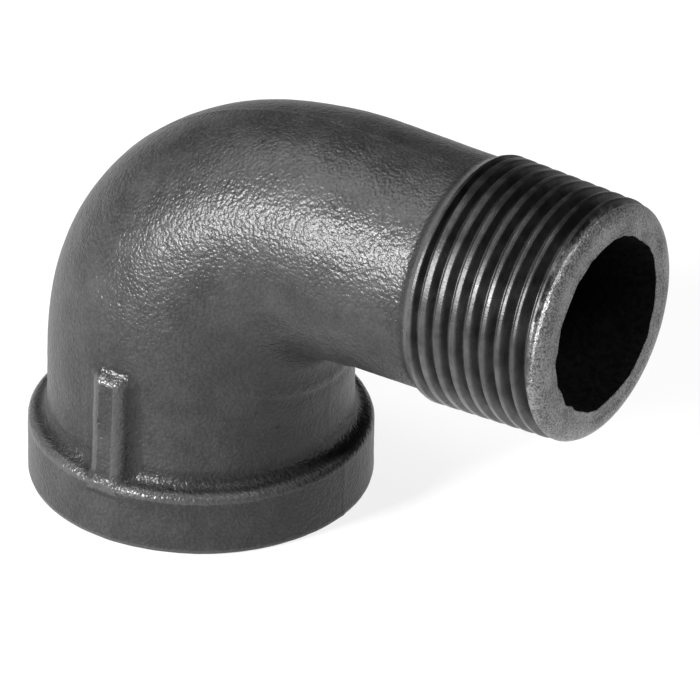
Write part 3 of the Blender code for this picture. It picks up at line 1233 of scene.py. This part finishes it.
def lined(
    name: str, sleeve: bpy.types.Mesh, rings: Sequence[Array], liner: Sequence[int]
) -> bpy.types.Mesh:
    """Close a threaded sleeve with rings from its end face back to its inner end.

    Args:
        name: The mesh's name.
        sleeve: The open sleeve, whose edges are the first and last ring.
        rings: The rings, in order, all with the sleeve's columns.
        liner: The material number of each strip between two rings.

    Returns:
        The closed mesh.
    """
    work = bmesh.new()
    work.from_mesh(sleeve)
    for face in work.faces:
        face.material_index = 0
    places = [[work.verts.new(place) for place in ring] for ring in rings]
    columns = len(rings[0])
    for index, (first, second) in enumerate(zip(places, places[1:])):
        for column in range(columns):
            after = (column + 1) % columns
            face = work.faces.new((first[column], first[after], second[after], second[column]))
            face.material_index = liner[index]
    bmesh.ops.remove_doubles(work, verts=work.verts, dist=0.001 * MM)
    bmesh.ops.recalc_face_normals(work, faces=work.faces)
    open_edges = sum(1 for edge in work.edges if not edge.is_manifold)
    mesh = bpy.data.meshes.new(name)
    work.to_mesh(mesh)
    work.free()
    if open_edges:
        LOG.warning("%s has %d edges that don't join two faces", name, open_edges)
    return mesh


def polar_ring(angles: Array, radius: Union[float, Array], height: Union[float, Array]) -> Array:
    """A ring about +Z."""
    out = np.broadcast_to(radius, angles.shape)
    up = np.broadcast_to(height, angles.shape)
    return np.stack([out * np.cos(angles), out * np.sin(angles), up], axis=-1)


@dataclass(frozen=True)
class ThreadedEnd:
    """The male end: its taper thread, rounded nose, end face and ragged bore."""

    place: Place
    thread: ThreadSize
    start_x: float
    shoulder_radius: float = 13.50 * MM
    crest_radius: float = 13.01 * MM
    face_radius: float = 10.9 * MM
    bore_radius: float = 9.0 * MM
    nose_length: float = 1.7 * MM
    ragged: float = 0.24 * MM
    ragged_size: float = 1.2 * MM
    edge: float = 0.12 * MM
    flare: float = 0.45 * MM
    face_relief: float = 0.05 * MM
    first_groove: float = 14.95 * MM

    @property
    def phase(self) -> float:
        """Turns that bring a groove's middle to its place on the -Y side."""
        return 1.25 - (self.place.end_x - self.first_groove - self.start_x) / self.thread.pitch

    def build(
        self, tree: ThreadTree, cut: bpy.types.Material, bore_shade: bpy.types.Material
    ) -> bpy.types.Object:
        """Build the male end.

        Args:
            tree: The shared thread tree.
            cut: The finish of the thread and the end face.
            bore_shade: The painted shade of the bore, nearly black.

        Returns:
            The piece.
        """
        length = self.place.end_x - self.start_x
        thread = Thread(
            side=Side.MALE,
            length=length,
            end_radius=self.crest_radius,
            depth=1.22 * MM,
            inner_depth=0.82 * MM,
            nose_length=self.nose_length,
            nose_drop=self.crest_radius - self.face_radius,
            nose_roundness=2.3,
            run_out_start=0.0,
            run_out_length=0.3 * self.thread.pitch,
            lead_in_start=0.45 * MM,
            lead_in_length=0.6 * MM,
            phase=self.phase,
            size=self.thread,
        )
        sleeve = thread.wound(tree, "threaded_end", cut)
        front = thread.end_ring(sleeve, length)
        back = thread.end_ring(sleeve, 0.0)
        angles = np.mod(np.arctan2(front[:, 1], front[:, 0]), 2.0 * math.pi)
        rings, liner = self.face_and_bore(angles, front, length)
        rings.append(back)
        mesh = lined("threaded_end", sleeve, rings, liner)
        turn = Matrix(((0, 0, 1, 0), (0, 1, 0, 0), (-1, 0, 0, 0), (0, 0, 0, 1)))
        mesh.transform(Matrix.Translation((self.start_x, 0.0, self.place.axis_z)) @ turn)
        return finished_piece("threaded_end", mesh, (cut, bore_shade), math.radians(65.0))

    def face_and_bore(
        self, angles: Array, front: Array, length: float
    ) -> Tuple[List[Array], List[int]]:
        """The rings of the end face, the bore's ragged edge, the bore and the back.

        Args:
            angles: The columns' angles.
            front: The sleeve's edge at the end face.
            length: Height of the end face.

        Returns:
            The rings, and the material number of each strip after them.
        """
        circle = polar_ring(angles, self.bore_radius, 0.0)
        coarse = unevenness(circle, self.ragged_size * 2.6, 5.0)
        wobble = (unevenness(circle, self.ragged_size, 17.0) + 0.8 * coarse) * self.ragged
        flared = wobble + self.flare
        lip = self.bore_radius + flared
        rings = [front]
        for share in (0.12, 0.3, 0.5, 0.7, 0.88):
            radius = self.face_radius + (lip + self.edge - self.face_radius) * share
            ring = polar_ring(angles, radius, length)
            dent = unevenness(ring, 1.1 * MM, 23.0) - 1.0
            ring[:, 2] += dent * self.face_relief
            rings.append(ring)
        for turn in (0.0, 22.5, 45.0, 67.5, 90.0):
            angle = math.radians(turn)
            radius = lip + self.edge * (1.0 - math.sin(angle))
            rings.append(polar_ring(angles, radius, length - self.edge * (1.0 - math.cos(angle))))
        depths = (0.6, 1.1, 1.8, 2.8, 4.2, 6.5, 9.5, 12.5)
        for depth in depths:
            radius = self.bore_radius + flared * math.exp(-depth / 2.2)
            rings.append(polar_ring(angles, radius, length - depth * MM))
        rings.append(polar_ring(angles, self.bore_radius, 0.0))
        rings.append(polar_ring(angles, (self.bore_radius + self.shoulder_radius) / 2.0, 0.0))
        # The bore's strips get the painted shade.
        liner = [0] * 9 + [1] * (len(rings) - 9)
        return rings, liner


@dataclass(frozen=True)
class SocketThread:
    """The female thread inside the band, with the chamfer at its mouth."""

    place: Place
    thread: ThreadSize
    depth: float = 14.5 * MM
    wall_radius: float = 13.5 * MM
    crest_radius: float = 11.90 * MM
    mouth_length: float = 1.6 * MM
    mouth_radius: float = 13.42 * MM

    def build(self, tree: ThreadTree, cut: bpy.types.Material) -> bpy.types.Object:
        """Build the female thread.

        Args:
            tree: The shared thread tree.
            cut: The finish of the thread.

        Returns:
            The piece.
        """
        thread = Thread(
            side=Side.FEMALE,
            length=self.depth,
            end_radius=self.crest_radius,
            depth=1.22 * MM,
            inner_depth=1.1 * MM,
            nose_length=self.mouth_length,
            nose_drop=self.mouth_radius - self.crest_radius,
            nose_roundness=1.0,
            run_out_start=1.2 * MM,
            run_out_length=1.5 * self.thread.pitch,
            phase=0.0,
            size=self.thread,
            columns=192,
            rows_per_turn=16,
        )
        sleeve = thread.wound(tree, "socket_thread", cut)
        front = thread.end_ring(sleeve, self.depth)
        back = thread.end_ring(sleeve, 0.0)
        angles = np.mod(np.arctan2(front[:, 1], front[:, 0]), 2.0 * math.pi)
        rings = [front]
        for height in (self.depth, self.depth / 2.0, 0.0):
            rings.append(polar_ring(angles, self.wall_radius, height))
        rings.append(back)
        mesh = lined("socket_thread", sleeve, rings, [0] * len(rings))
        upside_down = Matrix.Rotation(math.pi, 4, "X")
        mesh.transform(Matrix.Translation((self.place.socket_x, 0.0, self.depth)) @ upside_down)
        return finished_piece("socket_thread", mesh, (cut,), math.radians(65.0))


# Studio


@dataclass(frozen=True)
class Lamp:
    """One square soft light: its bearing (0 in front, towards -Y), height, side and watts."""

    name: str
    azimuth: float
    elevation: float
    size: float
    power: float
    away: float = 1.0


@dataclass(frozen=True)
class Studio:
    """A plain pale floor, soft lights and the camera."""

    place: Place
    lamps: Tuple[Lamp, ...] = (
        Lamp("key_light", -24.0, 26.0, 0.20, 30.0),
        Lamp("left_light", -76.0, 61.0, 0.30, 4.0),
        Lamp("right_light", 86.0, 56.0, 0.36, 5.0),
    )
    azimuth: float = math.radians(33.75)
    elevation: float = math.radians(30.5)
    roll: float = math.radians(0.75)
    aim: Tuple[float, float] = (10.0 * MM, 18.0 * MM)
    slide: Tuple[float, float] = (7.43 * MM, -0.25 * MM)
    distance: float = 1.12
    lens: float = 546.5
    floor_radius: float = 2.1
    kerb_height: float = 0.07
    floor_corners: int = 72
    floor_grey: float = 0.14
    floor_glow: float = 0.86
    sky_grey: float = 0.04

    def direction(self, azimuth: float, elevation: float) -> Vector:
        """The unit vector from the fitting towards a bearing and a height, in degrees."""
        turn, lift = math.radians(azimuth), math.radians(elevation)
        return Vector(
            (math.sin(turn) * math.cos(lift), -math.cos(turn) * math.cos(lift), math.sin(lift))
        )

    def build_floor(self) -> None:
        """Lay the floor, with a low kerb at its far edge. It is not part of the fitting."""
        count = self.floor_corners
        turns = np.arange(count) / count * math.tau
        corners = np.concatenate(
            [polar_ring(turns, self.floor_radius, height) for height in (0.0, self.kerb_height)]
        )
        after = [(index + 1) % count for index in range(count)]
        kerb = [(index, count + index, count + after[index], after[index]) for index in range(count)]
        mesh = bpy.data.meshes.new("floor")
        mesh.from_pydata(corners.tolist(), [], [tuple(range(count))] + kerb)
        floor = bpy.data.objects.new("floor", mesh)
        floor.location.z = -0.02 * MM
        bpy.context.scene.collection.objects.link(floor)
        material = bpy.data.materials.new("pale_floor")
        material.use_nodes = True
        shader = material.node_tree.nodes["Principled BSDF"]
        shader.inputs["Base Color"].default_value = grey(self.floor_grey)
        shader.inputs["Roughness"].default_value = 1.0
        shader.inputs["Specular IOR Level"].default_value = 0.0
        shader.inputs["Emission Color"].default_value = grey(1.0)
        shader.inputs["Emission Strength"].default_value = self.floor_glow
        mesh.materials.append(material)

    def build_light(self, lamp: Lamp) -> None:
        """Hang one square soft light that faces the fitting."""
        data = bpy.data.lights.new(lamp.name, "AREA")
        data.size = lamp.size
        data.energy = lamp.power
        light = bpy.data.objects.new(lamp.name, data)
        towards = self.direction(lamp.azimuth, lamp.elevation)
        light.location = Vector((0.0, 0.0, self.place.axis_z / 2.0)) + towards * lamp.away
        light.rotation_mode = "QUATERNION"
        light.rotation_quaternion = (-towards).to_track_quat("-Z", "Y")
        bpy.context.scene.collection.objects.link(light)

    def build_sky(self) -> None:
        """Give the room an even grey."""
        world = bpy.data.worlds.new("room")
        bpy.context.scene.world = world
        world.use_nodes = True
        background = world.node_tree.nodes["Background"]
        background.inputs["Color"].default_value = grey(self.sky_grey)
        background.inputs["Strength"].default_value = 1.0

    def build_camera(self) -> None:
        """Place the camera."""
        towards = self.direction(math.degrees(self.azimuth), math.degrees(self.elevation))
        right = Vector((math.cos(self.azimuth), math.sin(self.azimuth), 0.0))
        up = towards.cross(right)
        across = right * math.cos(self.roll) + up * math.sin(self.roll)
        upright = up * math.cos(self.roll) - right * math.sin(self.roll)
        aim = Vector((self.place.socket_x + self.aim[0], 0.0, self.aim[1]))
        aim += across * self.slide[0] + upright * self.slide[1]
        data = bpy.data.cameras.new("camera")
        data.lens = self.lens
        data.sensor_width = 36.0
        data.clip_start = 0.01
        data.clip_end = 200.0
        camera = bpy.data.objects.new("camera", data)
        axes = Matrix((across, upright, towards)).transposed().to_4x4()
        camera.matrix_world = Matrix.Translation(aim + towards * self.distance) @ axes
        bpy.context.scene.collection.objects.link(camera)
        bpy.context.scene.camera = camera

    def build(self) -> None:
        """Build the whole studio."""
        self.build_floor()
        self.build_sky()
        for lamp in self.lamps:
            self.build_light(lamp)
        self.build_camera()
        bpy.context.scene.view_settings.view_transform = "Standard"


def main() -> None:
    """Build the studio and every piece of the fitting, and report each piece."""
    logging.basicConfig(level=logging.INFO, format="%(name)s %(message)s")
    place = Place.read(frame["record"])
    thread = ThreadSize()
    skin = CastSkin().material()
    cut = CutThread(place.end_x - NOSE_SKIN).material()
    bore_shade = BoreShade().material()
    Studio(place).build()
    body = CastingBody(place)
    tree = ThreadTree()
    male_end = ThreadedEnd(place, thread, body.end_x)
    declare(body.build(skin, bore_shade))
    declare(male_end.build(tree, cut, bore_shade))
    declare(SocketThread(place, thread).build(tree, cut))


if __name__ == "__main__":
    main()
